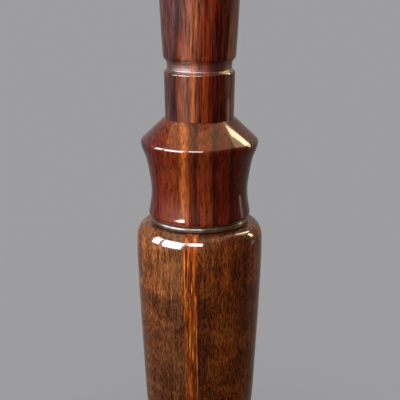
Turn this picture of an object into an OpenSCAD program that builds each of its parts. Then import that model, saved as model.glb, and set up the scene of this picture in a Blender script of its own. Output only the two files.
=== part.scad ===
// Duck call: laminated walnut barrel, dark bead ring, rosewood collar and bell,
// and a single-reed tone board that plugs into the barrel.
// Z is the bore axis, the mouthpiece rim stands on Z = 0, and the reed faces -Y.

/* [Barrel] */
// Length of the barrel, mouthpiece rim to shoulder
barrel_len = 88; // [84:1:94]
// Largest radius, just under the shoulder
barrel_r = 18.6; // [18:0.1:20]
// Radius of the tapered lower body
taper_r = 16.4; // [15.8:0.1:17]
// Radius of the neck above the mouthpiece
neck_r = 13.5; // [13:0.1:14]
// Radius of the mouthpiece lip
lip_r = 14.1; // [13.8:0.1:15]
// Width of the shoulder's rounding
shoulder_w = 3.1; // [2:0.1:3.4]
// Height of the shoulder's rounding
shoulder_h = 4.8; // [3:0.1:6]
// Thickness of the light strip glued between the walnut halves
strip_w = 3.9; // [2:0.1:6]
// Radius of the reed chamber, a 5/8 inch bore
bore_r = 7.94; // [7.9:0.01:8]
// Radius of the mouthpiece bore
mouth_bore_r = 7; // [6.5:0.1:7.3]

/* [Ring and collar] */
// Outer radius of the bead ring
ring_r = 14.5; // [14:0.1:15]
// Height of the bead ring
ring_h = 1.9; // [1.5:0.1:2.2]
// Height of the collar
collar_h = 29.2; // [27:0.1:31]
// Radius of the collar's foot
foot_r = 14.9; // [14.7:0.1:15.2]
// Radius of the collar's waist
waist_r = 14.1; // [13.6:0.1:14.3]
// Radius of the collar's rim
rim_r = 17.1; // [16.5:0.05:18]
// Height of the cone between rim and stem
cone_h = 6.9; // [5.5:0.1:7.5]

/* [Bell] */
// Height of the bell above the collar
bell_h = 48.9; // [44:0.1:54]
// Radius of the stem
stem_r = 10.05; // [9.8:0.05:10.3]
// Height of the stem under the lanyard groove
stem_h = 13.1; // [11:0.1:15]
// Radius at the bottom of the lanyard groove
groove_r = 9.3; // [8.8:0.1:9.5]
// Width of the lanyard groove
groove_w = 4.4; // [4.2:0.1:5.2]
// Radius of the bell's end
bell_r = 12.1; // [11.8:0.1:12.8]
// Radius of the exhaust bore
exhaust_r = 4; // [3.5:0.1:4.5]
// Radius of the exhaust at the bell's end
exhaust_end_r = 8; // [7:0.1:8.6]

/* [Tone board] */
// Length of the whole tone board below the shoulder
board_len = 58; // [54:1:60]
// Radius of the round shank
shank_r = 7.86; // [7.84:0.01:7.89]
// Length of the round shank below the shoulder
shank_len = 24; // [22:1:26]
// Width of the board and of the reed
board_w = 13; // [12:0.1:13.4]
// How far the board's flat stands in front of the axis
flat_y = 1; // [0.5:0.1:1.5]
// Fall of the curved lay at the tip
lay_drop = 1.4; // [1:0.1:1.8]
// Radius of the tone channel
channel_r = 3.2; // [2.8:0.1:3.4]
// Length of the wedge that clamps the reed
wedge_len = 14; // [12:0.5:16]
// Thickness of the reed
reed_t = 0.36; // [0.25:0.01:0.4]
// Section diameter of the O-rings
o_ring_d = 1.6; // [1.4:0.1:1.8]

/* [Hidden] */
$fn = 96;

eps = 0.01;          // overshoot of a cutting tool past a face
glue = 0.05;         // gap filled by glue between fixed pieces
chamfer = 0.6;       // lead-in at the top of the reed chamber
tip_r = 4;           // corner radius of the board's and the reed's tip
reed_inset = 1;      // how far the reed's tip stays back from the board's tip
channel_inset = 3.5; // solid wood between the tone channel and the board's tip
spigot_r = 6.3;      // tone board's spigot, glued into the collar
spigot_len = 16.6;
tenon_r = 6.9;       // bell's tenon, glued into the collar
tenon_len = 11.8;
socket_z = barrel_len + ring_h + spigot_len + 0.4; // step between the collar's two sockets
o_ring_room = 0.02;  // running clearance of an O-ring on each side
groove_depth_r = bore_r - o_ring_room - o_ring_d - o_ring_room;
mouth_bore_top = barrel_len * 0.29;
mouth_round = 1.6;   // rounding inside the mouthpiece rim
lip_round = 1.8;     // rounding outside the mouthpiece rim

ring_z = barrel_len;
collar_z = ring_z + ring_h;
rim_z = collar_z + collar_h - cone_h;
bell_z = collar_z + collar_h;
groove_z = bell_z + stem_h;
end_z = bell_z + bell_h;
shank_z = barrel_len - shank_len;
tip_z = barrel_len - board_len;
wedge_z = shank_z - wedge_len;
lay_len = wedge_z - tip_z;
lay_r = lay_len * lay_len / (2 * lay_drop);
o_ring_zs = [shank_z + 4.5, barrel_len - 5]; // middle heights of the O-rings

// One point of a Catmull-Rom span from b to c
function span(a, b, c, d, t) =
    (2 * b + (c - a) * t + (2 * a - 5 * b + 4 * c - d) * t * t + (3 * b - a - 3 * c + d) * t * t * t) / 2;

// A smooth curve through the points p, with this many steps a span
function curve(p, steps = 5) = concat(
    [for (i = [0:len(p) - 2]) for (k = [0:steps - 1])
        span(p[max(i - 1, 0)], p[i], p[i + 1], p[min(i + 2, len(p) - 1)], k / steps)],
    [p[len(p) - 1]]
);

// A quarter of an ellipse round c, from angle a0 to a1
function quarter(c, rx, ry, a0, a1, steps = 8) =
    [for (k = [0:steps]) let (a = a0 + (a1 - a0) * k / steps) c + [rx * cos(a), ry * sin(a)]];

// Outside of the barrel, from the mouthpiece rim up to the shoulder's flat
barrel_side = concat(
    quarter([lip_r - lip_round, lip_round], lip_round, lip_round, -90, 0),
    curve([
        [lip_r, lip_round + 1],
        [(lip_r + neck_r) / 2, 5.5],
        [neck_r, 9.5],
        [(neck_r + taper_r) / 2 - 0.2, 20],
        [taper_r, 31],
        [taper_r + (barrel_r - taper_r) * 0.4, barrel_len * 0.53],
        [taper_r + (barrel_r - taper_r) * 0.75, barrel_len * 0.71],
        [barrel_r, barrel_len * 0.875],
        [barrel_r, barrel_len - shoulder_h - 0.5]
    ]),
    quarter([barrel_r - shoulder_w, barrel_len - shoulder_h], shoulder_w, shoulder_h, 0, 90)
);

// Bore of the barrel, from the chamber's mouth down to the mouthpiece rim
barrel_bore = concat(
    [[bore_r + chamfer, barrel_len], [bore_r, barrel_len - chamfer]],
    [[bore_r, mouth_bore_top + bore_r - mouth_bore_r], [mouth_bore_r, mouth_bore_top]],
    quarter([mouth_bore_r + mouth_round, mouth_round], mouth_round, mouth_round, 180, 270)
);

module turned_barrel() {
    rotate_extrude() polygon(concat(barrel_side, barrel_bore));
}

// Slab of the barrel blank between two planes, x from x0 to x1 and y from y0 to y1
module blank(x0, x1, y0, y1) {
    translate([x0, y0, -1]) cube([x1 - x0, y1 - y0, barrel_len + 2]);
}

module barrel_half(side) {
    reach = barrel_r + 1;
    color([0.30, 0.15, 0.06])
        intersection() {
            turned_barrel();
            if (side < 0) blank(-reach, -strip_w / 2, -reach, reach);
            else blank(strip_w / 2, reach, -reach, reach);
        }
}

module barrel_strip(side) {
    reach = barrel_r + 1;
    color([0.62, 0.33, 0.12])
        intersection() {
            turned_barrel();
            if (side < 0) blank(-strip_w / 2, strip_w / 2, -reach, 0);
            else blank(-strip_w / 2, strip_w / 2, 0, reach);
        }
}

// Half-round bead on a flat washer
module joint_ring() {
    bead_r = ring_h / 2;
    color([0.05, 0.04, 0.035])
        translate([0, 0, ring_z])
            rotate_extrude() {
                translate([bore_r, 0]) square([ring_r - bead_r - bore_r, ring_h]);
                intersection() {
                    translate([ring_r - bead_r, bead_r]) circle(r = bead_r);
                    translate([ring_r - bead_r - eps, 0]) square([bead_r + 1, ring_h]);
                }
            }
}

// Outside of the collar, from its foot up to the seat of the bell
collar_side = concat(
    [[foot_r - 0.7, collar_z], [foot_r - 0.2, collar_z + 0.3], [foot_r, collar_z + 0.9]],
    curve([
        [foot_r, collar_z + 1.4],
        [foot_r - 0.28, collar_z + 3],
        [waist_r + 0.1, collar_z + 6],
        [waist_r + 0.08, collar_z + 9.2],
        [waist_r + 0.65, collar_z + 13.3],
        [(waist_r + rim_r) / 2 + 0.03, collar_z + 17.6],
        [rim_r - 0.42, rim_z - 1.9],
        [rim_r - 0.05, rim_z - 0.5]
    ]),
    [[rim_r, rim_z + 0.05], [rim_r - 0.05, rim_z + 0.35], [rim_r - 0.3, rim_z + 0.7]],
    [[stem_r + 0.35, bell_z - 0.12], [stem_r + 0.1, bell_z]]
);

module collar() {
    color([0.33, 0.09, 0.04])
        rotate_extrude()
            polygon(concat(collar_side, [
                [tenon_r + glue, bell_z],
                [tenon_r + glue, socket_z],
                [spigot_r + glue, socket_z],
                [spigot_r + glue, collar_z]
            ]));
}

// Lanyard groove, from its lower edge to its upper edge
groove_side = curve([
    [stem_r + 0.17, groove_z + 0.05],
    [stem_r - 0.05, groove_z + 0.35],
    [groove_r + 0.08, groove_z + 0.9],
    [groove_r, groove_z + 1.5],
    [groove_r + 0.02, groove_z + 2.2],
    [groove_r + 0.18, groove_z + groove_w - 1.3],
    [stem_r + 0.15, groove_z + groove_w - 0.4],
    [stem_r + 0.35, groove_z + groove_w]
], 4);

// Outside of the bell, from its seat on the collar up to its rounded end
bell_side = concat(
    [[stem_r - 0.25, bell_z], [stem_r - 0.1, bell_z + 0.15], [stem_r + 0.15, groove_z - 0.1]],
    groove_side,
    curve([
        [stem_r + 0.4, groove_z + groove_w + 0.3],
        [stem_r + 0.85, bell_z + bell_h * 0.51],
        [stem_r + 1.3, bell_z + bell_h * 0.69],
        [bell_r - 0.22, bell_z + bell_h * 0.87],
        [bell_r, end_z - 2.6]
    ]),
    quarter([bell_r - 1.6, end_z - 1.8], 1.6, 1.8, 15, 90)
);

// Exhaust, from the flared end down through the tenon
exhaust = concat(
    quarter([exhaust_end_r + 0.9, end_z - 0.9], 0.9, 0.9, 90, 180),
    curve([
        [exhaust_end_r - 0.15, end_z - 2],
        [exhaust_end_r - 1.1, end_z - 6],
        [(exhaust_end_r + exhaust_r) / 2 - 0.3, end_z - 13],
        [exhaust_r + 0.8, end_z - 24],
        [exhaust_r + 0.3, end_z - 36]
    ]),
    [[exhaust_r, bell_z], [exhaust_r, bell_z - tenon_len]]
);

module bell() {
    color([0.25, 0.08, 0.05])
        rotate_extrude()
            polygon(concat(
                [[tenon_r, bell_z - tenon_len], [tenon_r, bell_z]],
                bell_side,
                exhaust
            ));
}

// Plan of the board's tip: straight sides with rounded corners, foot at y0
module tip_plan(y0, y1) {
    half = board_w / 2;
    translate([-half, y0 + tip_r]) square([board_w, y1 - y0 - tip_r]);
    translate([-half + tip_r, y0]) square([board_w - 2 * tip_r, tip_r + eps]);
    for (side = [-1, 1])
        translate([side * (half - tip_r), y0 + tip_r]) circle(r = tip_r);
}

// A plan drawn in X and Z, given depth from y0 back to y1
module upright(y0, y1) {
    translate([0, y1, 0]) rotate([90, 0, 0]) linear_extrude(y1 - y0) children();
}

// Half-round board under the reed: flat under the wedge, then falling away on a true arc
module board() {
    intersection() {
        upright(-flat_y, bore_r) tip_plan(tip_z, shank_z + 1);
        translate([0, 0, tip_z - 1]) cylinder(r = shank_r - 0.36, h = board_len);
        union() {
            translate([-bore_r, -flat_y, wedge_z]) cube([2 * bore_r, 2 * bore_r, shank_len + wedge_len]);
            translate([-bore_r, lay_r - flat_y, wedge_z])
                rotate([0, 90, 0]) cylinder(r = lay_r, h = 2 * bore_r, $fn = 360);
        }
    }
}

// Groove for one O-ring, cut all round the shank
module o_ring_groove(z) {
    width = o_ring_d + 0.4;
    translate([0, 0, z - width / 2])
        difference() {
            cylinder(r = shank_r + 1, h = width);
            translate([0, 0, -eps]) cylinder(r = groove_depth_r, h = width + 2 * eps);
        }
}

module tone_board() {
    spigot_top = collar_z + spigot_len;
    channel_z = tip_z + channel_inset + channel_r;
    color([0.06, 0.06, 0.06])
        difference() {
            union() {
                board();
                translate([0, 0, shank_z]) cylinder(r = shank_r, h = shank_len + ring_h);
                translate([0, 0, collar_z - eps]) cylinder(r = spigot_r, h = spigot_len + eps);
            }
            for (z = o_ring_zs) o_ring_groove(z);
            translate([0, 0, channel_z]) cylinder(r = channel_r, h = spigot_top - channel_z + 1);
            translate([0, 0, channel_z]) sphere(r = channel_r);
            upright(-flat_y - 1, 0) {
                translate([-channel_r, channel_z]) square([2 * channel_r, shank_z - channel_z]);
                translate([0, channel_z]) circle(r = channel_r);
            }
        }
}

// Wedge over the reed's tail, rounded to the bore, with a sloped nose
module wedge_cork() {
    front = -shank_r + 0.25;
    back = -flat_y - reed_t;
    color([0.72, 0.52, 0.32])
        intersection() {
            translate([0, 0, wedge_z]) cylinder(r = shank_r - 0.25, h = wedge_len - glue);
            translate([-board_w / 2, 0, 0])
                rotate([90, 0, 90])
                    linear_extrude(board_w)
                        polygon([
                            [back, wedge_z],
                            [back, shank_z],
                            [front - 1, shank_z],
                            [front - 1, wedge_z + 3.4],
                            [back - 1.6, wedge_z]
                        ]);
        }
}

module reed() {
    color([0.85, 0.85, 0.82, 0.6])
        upright(-flat_y - reed_t, -flat_y) tip_plan(tip_z + reed_inset, shank_z - glue);
}

module o_ring(z) {
    color([0.03, 0.03, 0.03])
        translate([0, 0, z])
            rotate_extrude()
                translate([groove_depth_r + o_ring_room + o_ring_d / 2, 0]) circle(d = o_ring_d);
}

barrel_half(-1);  // barrel_left
barrel_half(1);  // barrel_right
barrel_strip(-1);  // barrel_strip_front
barrel_strip(1);  // barrel_strip_rear
joint_ring();
collar();
bell();
tone_board();
wedge_cork();
reed();
o_ring(o_ring_zs[1]);  // o_ring_upper
o_ring(o_ring_zs[0]);  // o_ring_lower
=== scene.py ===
"""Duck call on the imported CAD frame.

The turned wood, the ring and the reed are rebuilt finely, and every piece has a procedural material.
"""
import math

import bmesh
import bpy
from mathutils import Matrix, Vector


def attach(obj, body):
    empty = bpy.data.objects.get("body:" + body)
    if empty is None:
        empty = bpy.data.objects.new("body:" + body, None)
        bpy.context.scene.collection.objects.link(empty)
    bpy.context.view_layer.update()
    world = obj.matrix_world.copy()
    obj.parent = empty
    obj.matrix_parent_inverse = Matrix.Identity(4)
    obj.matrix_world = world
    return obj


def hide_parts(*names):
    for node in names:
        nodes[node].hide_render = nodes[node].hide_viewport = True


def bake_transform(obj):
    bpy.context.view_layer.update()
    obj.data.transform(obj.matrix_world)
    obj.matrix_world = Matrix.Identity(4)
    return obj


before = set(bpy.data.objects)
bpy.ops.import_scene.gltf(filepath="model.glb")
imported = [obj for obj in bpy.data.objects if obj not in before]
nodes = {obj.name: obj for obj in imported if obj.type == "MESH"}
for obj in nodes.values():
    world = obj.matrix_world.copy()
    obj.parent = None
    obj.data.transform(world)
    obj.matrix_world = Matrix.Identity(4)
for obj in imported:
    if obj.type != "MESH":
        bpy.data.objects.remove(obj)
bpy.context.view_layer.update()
MM = 0.001
SIDE_ANGLE = 8.0  # the camera stands this many degrees to the right of the front strip
GRAIN_ANGLE = 8.0  # the growth layers of the turned blanks are this many degrees off the strip


# ---------------------------------------------------------------- profiles, in mm
def quarter(c, rx, ry, a0, a1, steps=20):
    """An arc of an ellipse round c, from angle a0 to a1."""
    angles = [math.radians(a0 + (a1 - a0) * k / steps) for k in range(steps + 1)]
    return [(c[0] + rx * math.cos(a), c[1] + ry * math.sin(a)) for a in angles]


def span(a, b, c, d, t):
    """One coordinate of a Catmull-Rom span from b to c."""
    return (2 * b + (c - a) * t + (2 * a - 5 * b + 4 * c - d) * t * t + (3 * b - a - 3 * c + d) * t ** 3) / 2


def curve(p, steps=12):
    """A smooth curve through the points p."""
    out = []
    for i in range(len(p) - 1):
        a, b, c, d = p[max(i - 1, 0)], p[i], p[i + 1], p[min(i + 2, len(p) - 1)]
        out += [tuple(span(a[j], b[j], c[j], d[j], k / steps) for j in (0, 1)) for k in range(steps)]
    return out + [p[-1]]


def rounded(points, radius, steps=4):
    """A line through the points, its inner corners cut back by radius and rounded."""
    out = [points[0]]
    for a, b, c in zip(points, points[1:], points[2:]):
        b = Vector(b)
        to_a, to_c = Vector(a) - b, Vector(c) - b
        r = min(radius, to_a.length * 0.45, to_c.length * 0.45)
        start, end = b + to_a.normalized() * r, b + to_c.normalized() * r
        for k in range(steps + 1):
            t = k / steps
            out.append(tuple(start * (1 - t) ** 2 + b * 2 * t * (1 - t) + end * t * t))
    return out + [points[-1]]


barrel_len, barrel_r, taper_r, neck_r, lip_r = 88, 18.6, 16.4, 13.5, 14.1
shoulder_w, shoulder_h = 3.1, 4.8  # the shoulder's rounding
lip_round, mouth_round = 1.8, 1.6  # roundings outside and inside the mouthpiece rim
bore_r, mouth_bore_r, chamfer = 7.94, 7.0, 0.6
mouth_top = barrel_len * 0.29
strip_w = 3.9
ring_h, ring_r = 1.9, 14.5
foot_r, waist_r, rim_r, cone_h, collar_h = 14.9, 14.1, 17.1, 6.9, 29.2
spigot_r, spigot_len = 6.3, 16.6  # tone board's spigot, glued into the collar
tenon_r, tenon_len = 6.9, 11.8  # bell's tenon, glued into the collar
glue = 0.05
stem_r, stem_h, groove_r, groove_w = 10.05, 13.1, 9.3, 4.4
bell_h, bell_r, exhaust_r, exhaust_end_r = 48.9, 12.1, 4, 8
reed_w, reed_t, reed_tip_r = 13, 0.36, 4.0
reed_low, reed_high = 31.0, 63.95  # the reed's tip, and the end of its tail
flat_y = -1.0  # face of the board that the reed lies on

collar_z = barrel_len + ring_h
socket_z = collar_z + spigot_len + 0.4  # step between the collar's two sockets
bell_z = collar_z + collar_h
rim_z = bell_z - cone_h
groove_z = bell_z + stem_h
end_z = bell_z + bell_h

barrel_side = (
    quarter((lip_r - lip_round, lip_round), lip_round, lip_round, -90, 0)
    + curve([
        (lip_r, lip_round + 1), ((lip_r + neck_r) / 2, 5.5), (neck_r, 9.5),
        ((neck_r + taper_r) / 2 - 0.2, 20),
        (taper_r, 31), (taper_r + (barrel_r - taper_r) * 0.4, barrel_len * 0.53),
        (taper_r + (barrel_r - taper_r) * 0.75, barrel_len * 0.71), (barrel_r, barrel_len * 0.875),
        (barrel_r, barrel_len - shoulder_h - 0.5)])
    + quarter((barrel_r - shoulder_w, barrel_len - shoulder_h), shoulder_w, shoulder_h, 0, 90, 32)
)
barrel_bore = (
    [(bore_r + chamfer, barrel_len), (bore_r, barrel_len - chamfer)]
    + [(bore_r, mouth_top + bore_r - mouth_bore_r), (mouth_bore_r, mouth_top)]
    + quarter((mouth_bore_r + mouth_round, mouth_round), mouth_round, mouth_round, 180, 270)
)
ring_side = (
    [(bore_r, barrel_len), (ring_r - ring_h / 2, barrel_len)]
    + quarter((ring_r - ring_h / 2, barrel_len + ring_h / 2), ring_h / 2, ring_h / 2, -90, 90, 32)
    + [(bore_r, barrel_len + ring_h)]
)
collar_side = (
    rounded([(foot_r - 0.7, collar_z), (foot_r - 0.2, collar_z + 0.3), (foot_r, collar_z + 0.9),
             (foot_r, collar_z + 1.4)], 0.25)
    + curve([
        (foot_r, collar_z + 1.4), (foot_r - 0.28, collar_z + 3), (waist_r + 0.1, collar_z + 6),
        (waist_r + 0.08, collar_z + 9.2), (waist_r + 0.65, collar_z + 13.3),
        ((waist_r + rim_r) / 2 + 0.03, collar_z + 17.6), (rim_r - 0.42, rim_z - 1.9),
        (rim_r - 0.05, rim_z - 0.5)])[1:]
    + quarter((rim_r - 1.25, rim_z - 0.12), 1.25, 1.25, -4, 44, 16)
    + [(stem_r + 0.35, bell_z - 0.12), (stem_r + 0.1, bell_z)]
    + [(tenon_r + glue, bell_z), (tenon_r + glue, socket_z)]
    + [(spigot_r + glue, socket_z), (spigot_r + glue, collar_z)]
)
groove_side = rounded([
    (stem_r + 0.14, groove_z - 0.6), (stem_r + 0.17, groove_z + 0.05), (stem_r - 0.05, groove_z + 0.35)
], 0.28, 8)[:-1] + curve([
    (stem_r - 0.05, groove_z + 0.35), (groove_r + 0.08, groove_z + 0.9),
    (groove_r, groove_z + 1.5), (groove_r + 0.02, groove_z + 2.2),
    (groove_r + 0.18, groove_z + groove_w - 1.3), (stem_r + 0.15, groove_z + groove_w - 0.4),
    (stem_r + 0.35, groove_z + groove_w)], 10)
exhaust = (
    quarter((exhaust_end_r + 0.9, end_z - 0.9), 0.9, 0.9, 90, 180)
    + curve([
        (exhaust_end_r - 0.15, end_z - 2), (exhaust_end_r - 1.1, end_z - 6),
        ((exhaust_end_r + exhaust_r) / 2 - 0.3, end_z - 13), (exhaust_r + 0.8, end_z - 24),
        (exhaust_r + 0.3, end_z - 36)])
    + [(exhaust_r, bell_z), (exhaust_r, bell_z - tenon_len)]
)
bell_side = (
    [(tenon_r, bell_z - tenon_len), (tenon_r, bell_z)]
    + [(stem_r - 0.25, bell_z), (stem_r - 0.1, bell_z + 0.15)]
    + groove_side
    + curve([
        (stem_r + 0.4, groove_z + groove_w + 0.3), (stem_r + 0.85, bell_z + bell_h * 0.51),
        (stem_r + 1.3, bell_z + bell_h * 0.69), (bell_r - 0.22, bell_z + bell_h * 0.87),
        (bell_r, end_z - 2.6)])
    + quarter((bell_r - 1.6, end_z - 1.8), 1.6, 1.8, 15, 90)
)


# ---------------------------------------------------------------- mesh helpers
def lathe(profile, segments=240):
    """A bmesh turned round Z from a closed profile of (radius, height) in mm."""
    points = [p for p, q in zip(profile, profile[1:] + profile[:1]) if math.dist(p, q) > 1e-4]
    bm = bmesh.new()
    rings = []
    for k in range(segments):
        a = math.tau * k / segments
        rings.append([bm.verts.new((r * MM * math.cos(a), r * MM * math.sin(a), z * MM)) for r, z in points])
    for k, ring in enumerate(rings):
        after = rings[(k + 1) % segments]
        for i in range(len(points)):
            j = (i + 1) % len(points)
            bm.faces.new((ring[i], after[i], after[j], ring[j]))
    bmesh.ops.recalc_face_normals(bm, faces=bm.faces[:])
    return bm


def cut(bm, point, normal):
    """Cuts away what lies on the normal's side of a plane, and closes the cut."""
    geometry = bm.verts[:] + bm.edges[:] + bm.faces[:]
    done = bmesh.ops.bisect_plane(bm, geom=geometry, dist=1e-7, plane_co=point, plane_no=normal,
                                  clear_outer=True)
    edges = [e for e in done["geom_cut"] if isinstance(e, bmesh.types.BMEdge)]
    bmesh.ops.edgeloop_fill(bm, edges=edges)
    bmesh.ops.recalc_face_normals(bm, faces=bm.faces[:])


def piece(name, bm, material, body, replaced, sharp=32):
    """Makes the object, smooth but for its sharp edges, and rides it on its body in place of its CAD node."""
    for face in bm.faces:
        face.smooth = True
    for edge in bm.edges:
        if len(edge.link_faces) == 2 and edge.calc_face_angle(0) > math.radians(sharp):
            edge.smooth = False
    mesh = bpy.data.meshes.new(name)
    bm.to_mesh(mesh)
    bm.free()
    mesh.materials.append(material)
    obj = bpy.data.objects.new(name, mesh)
    bpy.context.scene.collection.objects.link(obj)
    if body:
        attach(obj, body)
    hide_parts(replaced)
    return obj


# ---------------------------------------------------------------- materials
def srgb(r, g, b, share=1.0):
    """An sRGB colour of 0 to 255 as linear light, times share."""
    parts = [c / 255 for c in (r, g, b)]
    linear = [((c + 0.055) / 1.055) ** 2.4 if c > 0.04 else c / 12.92 for c in parts]
    return tuple(share * c for c in linear) + (1.0,)


class Nodes:
    """A material's node tree, with short calls for the nodes used here."""

    def __init__(self, name):
        self.material = bpy.data.materials.new(name)
        self.material.use_nodes = True
        self.tree = self.material.node_tree
        self.shader = self.tree.nodes["Principled BSDF"]

    def put(self, value, socket):
        if isinstance(value, bpy.types.NodeSocket):
            self.tree.links.new(value, socket)
        else:
            socket.default_value = value

    def add(self, kind, **inputs):
        node = self.tree.nodes.new(kind)
        for key, value in inputs.items():
            self.put(value, node.inputs[key.replace("_", " ")])
        return node

    def math(self, op, a, b=0.0):
        node = self.tree.nodes.new("ShaderNodeMath")
        node.operation = op
        self.put(a, node.inputs[0])
        self.put(b, node.inputs[1])
        return node.outputs[0]

    def place(self, turn=0.0, scale=(1, 1, 1), shift=(0, 0, 0)):
        """Position on the piece in mm, turned about Z and then scaled."""
        source = self.tree.nodes.new("ShaderNodeTexCoord")
        turned = self.add("ShaderNodeMapping", Vector=source.outputs["Object"])
        turned.inputs["Rotation"].default_value = (0, 0, math.radians(-turn))
        scaled = self.add("ShaderNodeMapping", Vector=turned.outputs[0])
        scaled.inputs["Scale"].default_value = tuple(1000 * s for s in scale)
        scaled.inputs["Location"].default_value = shift
        return scaled.outputs[0]

    def noise(self, vector, scale=1.0, detail=2.0, rough=0.5, distortion=0.0):
        node = self.add("ShaderNodeTexNoise", Vector=vector, Scale=scale, Detail=detail, Roughness=rough,
                        Distortion=distortion)
        return node.outputs["Fac"]

    def ramp(self, fac, stops, share=1.0):
        """stops is a list of (place, value), each value a grey level or an sRGB colour of 0 to 255."""
        node = self.tree.nodes.new("ShaderNodeValToRGB")
        elements = node.color_ramp.elements
        while len(elements) < len(stops):
            elements.new(0.5)
        for element, (at, value) in zip(elements, stops):
            element.position = at
            element.color = srgb(*value, share) if isinstance(value, tuple) else (value, value, value, 1)
        self.put(fac, node.inputs[0])
        return node.outputs[0]

    def mix(self, how, fac, a, b):
        node = self.tree.nodes.new("ShaderNodeMix")
        node.data_type, node.blend_type = "RGBA", how
        self.put(fac, node.inputs["Factor"])
        self.put(a, node.inputs[6])
        self.put(b, node.inputs[7])
        return node.outputs[2]

    def bump(self, height, distance, strength=1.0):
        return self.add("ShaderNodeBump", Height=height, Distance=distance, Strength=strength).outputs[0]

    def set(self, **inputs):
        """Sets the shader's own sockets, and gives back the finished material."""
        for key, value in inputs.items():
            self.put(value, self.shader.inputs[key.replace("_", " ")])
        return self.material


DEPTH = 0.42  # how dark bare wood is beside its colour in bright light


def lacquer(n, rough=0.03, gloss=1.0, under=0.12):
    """Clear gloss over the colour. under is how much the surface below the gloss shines."""
    n.set(Coat_Weight=gloss, Coat_Roughness=rough, Coat_IOR=1.6, IOR=1.45, Specular_IOR_Level=under)


def layered_wood(name, layers, half_width, lean=0.0, lean_from=0.0, wave=0.5, pores=0.6, fibre=0.35, seed=0.0,
                 rough=0.03, gloss=1.0, share=DEPTH, under=0.12):
    """Wood whose growth layers stand upright, each in a plane: layers gives (mm from the axis, colour), and
    these colours also carry painted light and shade across the piece.

    The layers lean by lean above the height lean_from, and wave by up to 4 mm times wave.
    """
    n = Nodes(name)
    flat = n.tree.nodes.new("ShaderNodeSeparateXYZ")
    n.put(n.place(GRAIN_ANGLE), flat.inputs[0])
    slow = n.noise(n.place(GRAIN_ANGLE, (0.10, 0.10, 0.045), (seed, 3.1, 7.7)), 1.0, 2.0)
    fine = n.noise(n.place(GRAIN_ANGLE, (0.55, 0.55, 0.05), (seed, 9.2, 1.3)), 1.0, 2.0)
    across = n.math("ADD", flat.outputs[0], n.math("MULTIPLY", n.math("SUBTRACT", slow, 0.5), 6.0 * wave))
    across = n.math("ADD", across, n.math("MULTIPLY", n.math("SUBTRACT", fine, 0.5), 2.0 * wave))
    above = n.math("MAXIMUM", n.math("SUBTRACT", flat.outputs[2], lean_from), 0.0)
    across = n.math("SUBTRACT", across, n.math("MULTIPLY", above, lean))
    place = n.math("ADD", n.math("MULTIPLY", across, 0.5 / half_width), 0.5)
    stops = [((x + half_width) / (2 * half_width), colour) for x, colour in layers]
    colour = n.ramp(place, stops, share)
    # fine growth lines, fibres and open pores, all drawn out along the grain
    lines = n.noise(n.place(GRAIN_ANGLE, (1.3, 0.5, 0.035), (seed, 0, 0)), 1.0, 4.0, 0.62, 0.4)
    fibres = n.noise(n.place(GRAIN_ANGLE, (2.5, 0.6, 0.14), (seed, 5, 2)), 1.0, 3.0, 0.6)
    colour = n.mix("MULTIPLY", 1.0, colour,
                   n.ramp(lines, [(0.34, 1 - fibre), (0.5, 1.0), (0.66, 1 + fibre * 0.7)]))
    colour = n.mix("MULTIPLY", 1.0, colour, n.ramp(fibres, [(0.36, 1 - fibre), (0.64, 1 + fibre)]))
    holes = n.noise(n.place(GRAIN_ANGLE, (2.4, 0.4, 0.5), (seed, 1, 4)), 1.0, 1.0)
    mask = n.ramp(holes, [(0.62, 0.0), (0.70, 1.0)])
    colour = n.mix("MULTIPLY", n.math("MULTIPLY", mask, pores), colour, (0.12, 0.08, 0.06, 1))
    height = n.math("SUBTRACT", fibres, n.math("MULTIPLY", mask, 0.8))
    n.set(Base_Color=colour, Roughness=n.ramp(fibres, [(0.3, 0.34), (0.7, 0.5)]),
          Normal=n.bump(height, 0.00004, 0.5))
    ripple = n.noise(n.place(0, (0.16, 0.16, 0.05), (seed, 2, 9)), 1.0, 1.0)
    n.set(Coat_Normal=n.bump(ripple, 0.00006, 0.35))
    lacquer(n, rough, gloss, under)
    return n.material


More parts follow.
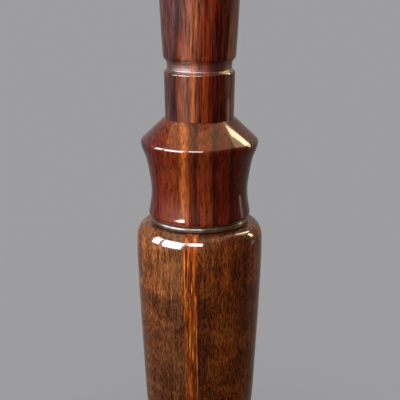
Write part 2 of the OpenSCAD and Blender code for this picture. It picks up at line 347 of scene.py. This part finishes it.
def walnut(name, seed, colours, pores, along):
    """Brown wood with short open pores between golden fibres, and painted shade that darkens it toward the
    strips, so that it is lighter toward its outer side.

    colours are its dark, middle and light tones, and along its brightness from the foot up to the shoulder.
    """
    n = Nodes(name)
    broad = n.noise(n.place(GRAIN_ANGLE, (0.11, 0.11, 0.02), (seed, 0, 0)), 1.0, 3.0, 0.55, 0.3)
    figure = n.noise(n.place(GRAIN_ANGLE, (0.06, 0.06, 0.16), (seed, 4, 1)), 1.0, 2.0, 0.5, 0.8)
    lines = n.noise(n.place(GRAIN_ANGLE, (0.8, 0.4, 0.06), (seed, 2, 3)), 1.0, 4.0, 0.6, 0.3)
    fibres = n.noise(n.place(GRAIN_ANGLE, (3.4, 1.2, 0.60), (seed, 5, 2)), 1.0, 3.0, 0.65)
    tone = fibres
    for part, share in ((lines, 0.4), (broad, 0.5), (figure, 0.4)):
        tone = n.math("ADD", tone, n.math("MULTIPLY", part, share))
    dark, mid, light = colours
    colour = n.ramp(n.math("MULTIPLY", tone, 1 / 2.3), [(0.40, dark), (0.5, mid), (0.615, light)], DEPTH)
    flat = n.tree.nodes.new("ShaderNodeSeparateXYZ")
    n.put(n.place(), flat.inputs[0])
    rise = n.math("ADD", n.math("DIVIDE", flat.outputs[2], barrel_len), n.math("MULTIPLY", fibres, 0.03))
    colour = n.mix("MULTIPLY", 1.0, colour, n.ramp(rise, along))
    streaks = n.noise(n.place(GRAIN_ANGLE, (1.5, 0.4, 0.10), (seed, 6, 6)), 1.0, 3.0, 0.6, 0.3)
    colour = n.mix("MULTIPLY", n.ramp(rise, [(0.76, 0.2), (0.84, 1.0)]), colour,
                   n.ramp(streaks, [(0.38, 0.55), (0.50, 1.0), (0.62, 1.3)]))
    # Painted shade: the walnut is darker near the strips and lighter toward its sides.
    edge = n.math("DIVIDE", n.math("ABSOLUTE", flat.outputs[0]), barrel_r)
    colour = n.mix("MULTIPLY", 1.0, colour, n.ramp(edge, [(0.3, 0.66), (0.8, 1.1)]))
    holes = n.noise(n.place(GRAIN_ANGLE, (3.4, 1.0, 0.85), (seed, 8, 6)), 1.0, 1.5)
    mask = n.ramp(holes, [(0.57, 0.0), (0.66, 1.0)])
    colour = n.mix("MULTIPLY", n.math("MULTIPLY", mask, pores), colour, (0.20, 0.14, 0.10, 1))
    height = n.math("SUBTRACT", fibres, n.math("MULTIPLY", mask, 0.9))
    n.set(Base_Color=colour, Roughness=n.ramp(fibres, [(0.3, 0.36), (0.7, 0.55)]),
          Normal=n.bump(height, 0.00005, 0.5))
    ripple = n.noise(n.place(0, (0.14, 0.14, 0.04), (seed, 2, 9)), 1.0, 1.0)
    n.set(Coat_Normal=n.bump(n.math("ADD", ripple, n.math("MULTIPLY", fibres, 0.10)), 0.00006, 0.4))
    lacquer(n, 0.055)
    return n.material


def strip_wood(name, seed):
    """Light strip with strong upright lines, dark where it is glued to the walnut."""
    n = Nodes(name)
    flat = n.tree.nodes.new("ShaderNodeSeparateXYZ")
    n.put(n.place(), flat.inputs[0])
    lines = n.noise(n.place(0, (2.1, 0.5, 0.09), (seed, 0, 2)), 1.0, 4.0, 0.65, 0.6)
    tones = [(0.36, (62, 18, 2)), (0.45, (112, 42, 4)), (0.54, (146, 64, 8)), (0.64, (206, 122, 44))]
    colour = n.ramp(lines, tones, DEPTH)
    fibres = n.noise(n.place(0, (3.4, 1.0, 0.30), (seed, 5, 2)), 1.0, 3.0, 0.6)
    colour = n.mix("MULTIPLY", 1.0, colour, n.ramp(fibres, [(0.38, 0.42), (0.62, 1.6)]))
    rise = n.math("DIVIDE", flat.outputs[2], barrel_len)
    along = n.ramp(rise, [(0.35, 0.64), (0.70, 0.72), (0.80, 0.93), (0.95, 1.08)])
    colour = n.mix("MULTIPLY", 1.0, colour, along)
    edge = n.math("ABSOLUTE", flat.outputs[0])
    glue = n.ramp(n.math("DIVIDE", edge, strip_w / 2), [(0.92, 1.0), (0.99, 0.40)])
    colour = n.mix("MULTIPLY", 1.0, colour, glue)
    n.set(Base_Color=colour, Roughness=n.ramp(fibres, [(0.3, 0.34), (0.7, 0.5)]),
          Normal=n.bump(fibres, 0.00004, 0.4))
    n.set(Coat_Normal=n.bump(lines, 0.00008, 0.3))
    lacquer(n)
    return n.material


# Six colours that the rosewood blanks run through, and where each blank's streaks stand,
# in mm from the axis. Both are coarse forms of measured values.
# The plum at the edges of each blank is a painted reflection of the room. The tones across each blank hold
# painted light and shade as well as the real streaks.
PLUM_REFLECTION, ROSE, AMBER = (80, 40, 35), (120, 65, 45), (160, 80, 30)
CHESTNUT, RUSSET, EBONY = (110, 40, 8), (90, 20, 5), (50, 10, 5)
collar_streaks_and_shading = [
    (-17, PLUM_REFLECTION), (-12, RUSSET), (-9, CHESTNUT), (-6, CHESTNUT), (-5, AMBER), (-4, AMBER), (-3, CHESTNUT),
    (-1, EBONY), (0, CHESTNUT), (3, CHESTNUT), (4, EBONY), (6, RUSSET), (8, RUSSET), (9, EBONY),
    (12, RUSSET), (17, PLUM_REFLECTION)]
bell_streaks_and_shading = [
    (-11, PLUM_REFLECTION), (-8, PLUM_REFLECTION), (-7, EBONY), (-6, CHESTNUT), (-5, ROSE), (-3, ROSE), (-2, AMBER), (-1, ROSE),
    (0, RUSSET), (1, CHESTNUT), (2, CHESTNUT), (3, RUSSET), (5, EBONY), (6, RUSSET), (7, EBONY), (8, ROSE),
    (11, PLUM_REFLECTION)]
COLLAR_BLANK, BELL_BLANK = 17.5, 13.0  # half the width of each blank
bell_lean = {"lean": 0.085, "lean_from": 136}  # the bell's grain leans above its groove
rosewood_collar = layered_wood("rosewood_collar", collar_streaks_and_shading, COLLAR_BLANK, wave=0.25, pores=0.8,
                               fibre=0.45, seed=2.0, rough=0.045)
rosewood_bell = layered_wood("rosewood_bell", bell_streaks_and_shading, BELL_BLANK, wave=0.22, pores=0.35, fibre=0.65,
                             seed=11.0, **bell_lean)
# The groove's colour is a tenth lighter than the bell's: a painted sheen, beside its rougher gloss.
rosewood_groove = layered_wood("rosewood_groove", bell_streaks_and_shading, BELL_BLANK, wave=0.22, pores=0.3, fibre=0.4,
                               seed=11.0, rough=0.34, share=DEPTH * 1.1, under=0.6, **bell_lean)
walnut_left = walnut("walnut_left", 1.0, ((60, 26, 9), (108, 55, 23), (176, 108, 52)), 0.35,
                     [(0.35, 0.56), (0.70, 0.74), (0.80, 0.82), (0.83, 1.45), (0.86, 0.96), (0.95, 1.05)])
walnut_right = walnut("walnut_right", 6.0, ((42, 13, 3), (90, 36, 7), (156, 80, 18)), 0.8,
                      [(0.35, 0.85), (0.80, 0.92), (0.95, 1.05)])
strip_front = strip_wood("strip_front_wood", 3.0)
strip_rear = strip_wood("strip_rear_wood", 8.0)


def dark_ring():
    """Dark wood under a softer gloss."""
    n = Nodes("dark_ring")
    grain = n.noise(n.place(GRAIN_ANGLE, (1.6, 1.6, 0.2)), 1.0, 3.0, 0.6)
    n.set(Base_Color=n.ramp(grain, [(0.3, (26, 16, 12)), (0.6, (56, 36, 25)), (0.75, (86, 58, 42))]),
          Roughness=n.ramp(grain, [(0.3, 0.3), (0.7, 0.45)]), Normal=n.bump(grain, 0.00003, 0.3))
    lacquer(n, 0.21, 1.0, 0.3)
    return n.material


def black_board():
    """Machined black acetal: fine tool lines across the turned and milled faces."""
    n = Nodes("black_board")
    lines = n.noise(n.place(0, (0.05, 0.05, 6.0)), 1.0, 2.0)
    cloud = n.noise(n.place(0, (0.5, 0.5, 0.5)), 1.0, 3.0)
    n.set(Base_Color=n.ramp(cloud, [(0.3, (17, 17, 18)), (0.7, (30, 30, 32))]),
          Roughness=n.ramp(lines, [(0.3, 0.28), (0.7, 0.45)]), Normal=n.bump(lines, 0.00002, 0.4),
          Specular_IOR_Level=0.5)
    return n.material


def cork():
    """Pressed cork: pale grains with darker edges, and dark specks."""
    n = Nodes("cork")
    grains = n.add("ShaderNodeTexVoronoi", Vector=n.place(0, (1.3, 1.3, 0.9)), Scale=1.0)
    tones = [(0.0, (196, 148, 96)), (0.5, (176, 124, 74)), (0.85, (132, 86, 48))]
    cells = n.ramp(grains.outputs["Distance"], tones, 0.7)
    spots = n.noise(n.place(0, (1.1, 1.1, 0.8), (3, 3, 3)), 1.0, 2.0)
    mask = n.ramp(spots, [(0.62, 0.0), (0.70, 1.0)])
    height = n.math("ADD", grains.outputs["Distance"], n.math("MULTIPLY", mask, 0.8))
    n.set(Base_Color=n.mix("MIX", mask, cells, srgb(88, 52, 28)),
          Roughness=n.ramp(spots, [(0.3, 0.8), (0.7, 0.95)]),
          Normal=n.bump(n.math("MULTIPLY", height, -1.0), 0.0001, 0.6))
    return n.material


def reed_film():
    """Milky polyester film with faint rub marks along it."""
    n = Nodes("reed_film")
    rub = n.noise(n.place(0, (1.5, 1.5, 0.12)), 1.0, 3.0)
    n.set(Base_Color=n.ramp(rub, [(0.3, (208, 208, 203)), (0.7, (216, 216, 211))], DEPTH * 1.2),
          Roughness=n.ramp(rub, [(0.3, 0.18), (0.7, 0.28)]), Normal=n.bump(rub, 0.000003, 0.2),
          Transmission_Weight=0.35, IOR=1.6)
    return n.material


def rubber():
    """Black O-ring rubber."""
    n = Nodes("rubber")
    fine = n.noise(n.place(0, (4, 4, 4)), 1.0, 3.0)
    n.set(Base_Color=n.ramp(fine, [(0.3, (18, 18, 18)), (0.7, (30, 30, 30))]),
          Roughness=n.ramp(fine, [(0.3, 0.5), (0.7, 0.7)]), Normal=n.bump(fine, 0.00002, 0.4))
    return n.material


# ---------------------------------------------------------------- pieces
half = strip_w / 2 * MM
for side, material, place in ((-1, walnut_left, "left"), (1, walnut_right, "right")):
    bm = lathe(barrel_side + barrel_bore)
    cut(bm, (side * half, 0, 0), (-side, 0, 0))
    piece("walnut_" + place, bm, material, "barrel", "barrel_" + place)
for side, material, place in ((-1, strip_front, "front"), (1, strip_rear, "rear")):
    bm = lathe(barrel_side + barrel_bore, 720)
    cut(bm, (0, 0, 0), (0, -side, 0))
    cut(bm, (half, 0, 0), (1, 0, 0))
    cut(bm, (-half, 0, 0), (-1, 0, 0))
    piece("strip_" + place, bm, material, "barrel", "barrel_strip_" + place)
piece("bead_ring", lathe(ring_side), dark_ring(), "insert", "joint_ring")
piece("collar_turned", lathe(collar_side), rosewood_collar, "insert", "collar")
bell = piece("bell_turned", lathe(bell_side + exhaust), rosewood_bell, "insert", "bell")
bell.data.materials.append(rosewood_groove)
groove_low, groove_high = groove_z + 0.5, groove_z + groove_w - 0.9
for face in bell.data.polygons:
    outside = face.center.xy.length > (groove_r - 0.3) * MM
    if outside and groove_low < face.center.z / MM < groove_high:
        face.material_index = 1


def reed_strip():
    """Film strip with a rounded tip, in close rows along its length."""
    straight_z = reed_low + reed_tip_r  # where the tip's rounding ends and the sides run straight
    rows = [reed_low + reed_tip_r * (1 - math.cos(math.radians(a))) for a in range(0, 90, 6)]
    rows += [straight_z + (reed_high - straight_z) * k / 60 for k in range(61)]
    bm = bmesh.new()
    loops = []
    for z in rows:
        drop = max(0.0, straight_z - z)
        inset = reed_tip_r - math.sqrt(max(0.0, reed_tip_r ** 2 - drop ** 2))
        across = [(reed_w / 2 - inset) * (k / 6 - 1) for k in range(13)]
        front = [bm.verts.new((x * MM, (flat_y - reed_t) * MM, z * MM)) for x in across]
        rear = [bm.verts.new((x * MM, flat_y * MM, z * MM)) for x in reversed(across)]
        loops.append(front + rear)
    count = len(loops[0])
    for a, b in zip(loops, loops[1:]):
        for i in range(count):
            j = (i + 1) % count
            bm.faces.new((a[i], a[j], b[j], b[i]))
    for end in (loops[0], loops[-1]):
        for i in range(12):
            bm.faces.new((end[i], end[i + 1], end[count - 2 - i], end[count - 1 - i]))
    bmesh.ops.recalc_face_normals(bm, faces=bm.faces[:])
    return bm


reed = piece("reed_strip", reed_strip(), reed_film(), None, "reed")
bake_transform(reed)

for name, material, width in (("tone_board", black_board(), 0.00012), ("wedge_cork", cork(), 0.0002),
                              ("o_ring_upper", rubber(), 0), ("o_ring_lower", rubber(), 0)):
    obj = nodes[name]
    obj.data.materials.clear()
    obj.data.materials.append(material)
    if width:
        bevel = obj.modifiers.new("edge", "BEVEL")
        bevel.width, bevel.segments, bevel.limit_method = width, 2, "ANGLE"
        bevel.angle_limit = math.radians(35)


# ---------------------------------------------------------------- floor, light and camera
def aim(azimuth, elevation, distance, target=(0, 0, 0.09)):
    """Place and turn of something that looks at the target. Azimuth 0 is the camera's side."""
    a, e = math.radians(azimuth + SIDE_ANGLE), math.radians(elevation)
    back = Vector((math.sin(a) * math.cos(e), -math.cos(a) * math.cos(e), math.sin(e)))
    turned = (-back).to_track_quat("-Z", "Y").to_matrix().to_4x4()
    return Matrix.Translation(Vector(target) + back * distance) @ turned


def softbox(name, azimuth, elevation, distance, width, height, power, colour, seen=True):
    """An area light, in degrees, metres and watts. seen says whether the gloss shows it."""
    data = bpy.data.lights.new(name, "AREA")
    data.shape, data.size, data.size_y = "RECTANGLE", width, height
    data.energy, data.color = power, colour
    obj = bpy.data.objects.new(name, data)
    obj.matrix_world = aim(azimuth, elevation, distance)
    obj.visible_camera, obj.visible_glossy = False, seen
    bpy.context.scene.collection.objects.link(obj)


softbox("window_pane_1", -86, 19, 0.55, 0.17, 0.32, 2.3, (0.94, 0.97, 1.0))
softbox("window_pane_2", -51.5, 20, 0.55, 0.385, 0.36, 7.4, (0.94, 0.97, 1.0))
softbox("window_front", -8, 32, 0.60, 0.26, 0.20, 3.0, (1.0, 0.98, 0.95))
softbox("lamp_high", 126, 40, 0.42, 0.06, 0.16, 0.32, (1.0, 0.80, 0.48))
softbox("lamp_low", 113, 17, 0.42, 0.045, 0.13, 0.26, (1.0, 0.84, 0.56))
softbox("lamp_shade", 120, 42, 0.42, 0.16, 0.16, 0.20, (1.0, 0.70, 0.40))
softbox("lamp_foot", 110, -9, 0.30, 0.05, 0.05, 0.005, (1.0, 0.92, 0.86))
softbox("warm_ceiling", -4, 86, 0.5, 0.75, 0.7, 1.5, (1.0, 0.70, 0.38))
softbox("fill", 25, 25, 1.2, 1.0, 1.0, 7.0, (1.0, 0.97, 0.93), seen=False)
softbox("ceiling", 0, 90, 2.0, 4.0, 4.0, 34.0, (1.0, 0.98, 0.95), seen=False)

BACKDROP = (0.342, 0.338, 0.342)  # the plain grey of the lit floor, for what lies beyond it
world = bpy.data.worlds.new("room")
bpy.context.scene.world = world
world.use_nodes = True
room = world.node_tree
direction = room.nodes.new("ShaderNodeTexCoord")
axes = room.nodes.new("ShaderNodeSeparateXYZ")
room.links.new(direction.outputs["Generated"], axes.inputs[0])


def grade(axis, stops):
    """Colours of the room along one axis of the direction, from -1 to 1."""
    scale = room.nodes.new("ShaderNodeMapRange")
    scale.inputs["From Min"].default_value, scale.inputs["From Max"].default_value = -1, 1
    room.links.new(axes.outputs[axis], scale.inputs["Value"])
    ramp = room.nodes.new("ShaderNodeValToRGB")
    while len(ramp.color_ramp.elements) < len(stops):
        ramp.color_ramp.elements.new(0.5)
    for element, (at, value) in zip(ramp.color_ramp.elements, stops):
        element.position, element.color = (at + 1) / 2, (*value, 1)
    room.links.new(scale.outputs[0], ramp.inputs[0])
    return ramp.outputs[0]


def times(a, b):
    """One colour of the room times another."""
    both = room.nodes.new("ShaderNodeMix")
    both.data_type, both.blend_type = "RGBA", "MULTIPLY"
    both.inputs["Factor"].default_value = 1
    room.links.new(a, both.inputs[6])
    room.links.new(b, both.inputs[7])
    return both.outputs[2]


depth = grade(1, [
    (-0.3, (0.04, 0.035, 0.03)), (0.2, (0.09, 0.08, 0.07)), (0.7, (0.30, 0.27, 0.25)), (1, (0.5, 0.5, 0.5))])
sides = grade(0, [(-0.8, (1.0, 0.95, 1.0)), (0.0, (0.7, 0.66, 0.62)), (0.8, (0.6, 0.5, 0.4))])
height = grade(2, [(-0.3, (0.6, 0.6, 0.6)), (0.5, (1, 1, 1)), (0.9, (1, 0.9, 0.8))])
rays = room.nodes.new("ShaderNodeLightPath")
backdrop = room.nodes.new("ShaderNodeMix")
backdrop.data_type = "RGBA"
backdrop.inputs[7].default_value = (*BACKDROP, 1)
room.links.new(rays.outputs["Is Camera Ray"], backdrop.inputs["Factor"])
room.links.new(times(times(depth, sides), height), backdrop.inputs[6])
shade = room.nodes["Background"]
shade.inputs["Strength"].default_value = 1
room.links.new(backdrop.outputs[2], shade.inputs["Color"])

bpy.ops.mesh.primitive_plane_add(size=60)
floor = bpy.context.object
floor.name = "floor"
n = Nodes("pale_floor")
floor.data.materials.append(n.set(Base_Color=(0.78, 0.81, 0.86, 1), Roughness=0.9))
floor.visible_glossy = False
even = bpy.data.lights.new("floor_light", "SUN")
even.energy, even.angle = 1.08, math.radians(120)
floor_light = bpy.data.objects.new("floor_light", even)
bpy.context.scene.collection.objects.link(floor_light)
# Of the lamps, only floor_light reaches the floor, and it reaches nothing else.
for light in [o for o in bpy.context.scene.objects if o.type == "LIGHT"]:
    receivers = bpy.data.collections.new("lit_by_" + light.name)
    receivers.objects.link(floor)
    mode = "INCLUDE" if light is floor_light else "EXCLUDE"
    receivers.collection_objects[0].light_linking.link_state = mode
    light.light_linking.receiver_collection = receivers

camera_data = bpy.data.cameras.new("camera")
camera_data.sensor_width, camera_data.lens = 36.0, 82.53
camera = bpy.data.objects.new("camera", camera_data)
bpy.context.scene.collection.objects.link(camera)
bpy.context.scene.camera = camera
camera_away, camera_up = 0.2619, 0.1676  # from the bore axis, and above the floor
turn, pitch = math.radians(SIDE_ANGLE), math.radians(15.7)
camera.location = (camera_away * math.sin(turn), -camera_away * math.cos(turn), camera_up)
camera.rotation_euler = (math.pi / 2 - pitch, 0, turn)
camera_data.shift_x, camera_data.shift_y = 0.00125, 0.00125
camera_data.clip_start = 0.01
bpy.context.scene.view_settings.view_transform = "Standard"
